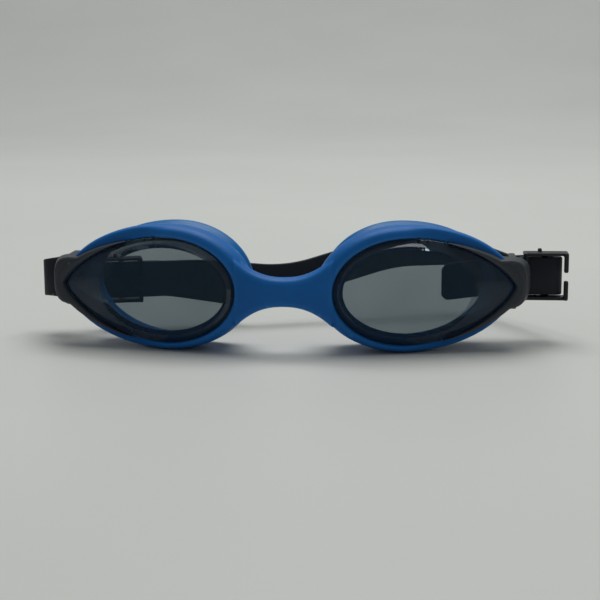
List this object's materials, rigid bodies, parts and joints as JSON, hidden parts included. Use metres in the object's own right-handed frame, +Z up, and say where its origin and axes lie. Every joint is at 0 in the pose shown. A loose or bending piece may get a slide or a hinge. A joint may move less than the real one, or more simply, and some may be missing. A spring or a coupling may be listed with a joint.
{
  "type": "swim goggles",
  "caption": "Swim goggles: soft oval eye cups joined by a nose bridge, tinted raised lenses, hard side wings, and a thin head strap held by adjuster clips.",
  "frame": {"origin": "middle of the back face of the nose bridge, on the symmetry plane", "axes": "+X towards the right-hand eye cup of the picture, -Y towards the front of the lenses, +Z up"},
  "size_m": [0.1769, 0.0797, 0.041],
  "materials": {
    "frame_silicone": "satin",
    "seal_silicone": "satin",
    "lens_tint": "polished",
    "wing_plastic": "matte",
    "clip_plastic": "satin",
    "strap_silicone": "satin"
  },
  "bodies": {
    "eyepiece": {"frame": "frame_silicone", "face_seal_left": "seal_silicone", "face_seal_right": "seal_silicone", "lens_left": "lens_tint", "lens_right": "lens_tint", "side_wing_left": "wing_plastic", "side_wing_right": "wing_plastic"},
    "strap": {"head_strap": "strap_silicone"},
    "left_clip": {"clip_left": "clip_plastic"},
    "right_clip": {"clip_right": "clip_plastic"}
  },
  "joints": [
    {"name": "strap_tilt", "type": "hinge", "parent": "eyepiece", "child": "strap", "pos_m": [0, 0.0205, 0.0013], "axis": [1, 0, 0], "range_deg": [-11, 11]},
    {"name": "left_clip_slide", "type": "slide", "parent": "strap", "child": "left_clip", "axis": [0.964, 0.2658, 0], "range_m": [-0.004, 0.008]},
    {"name": "right_clip_rock", "type": "hinge", "parent": "strap", "child": "right_clip", "pos_m": [0.084, 0.02297, 0.0022], "axis": [0, 0, 1], "range_deg": [0, 8]}
  ]
}
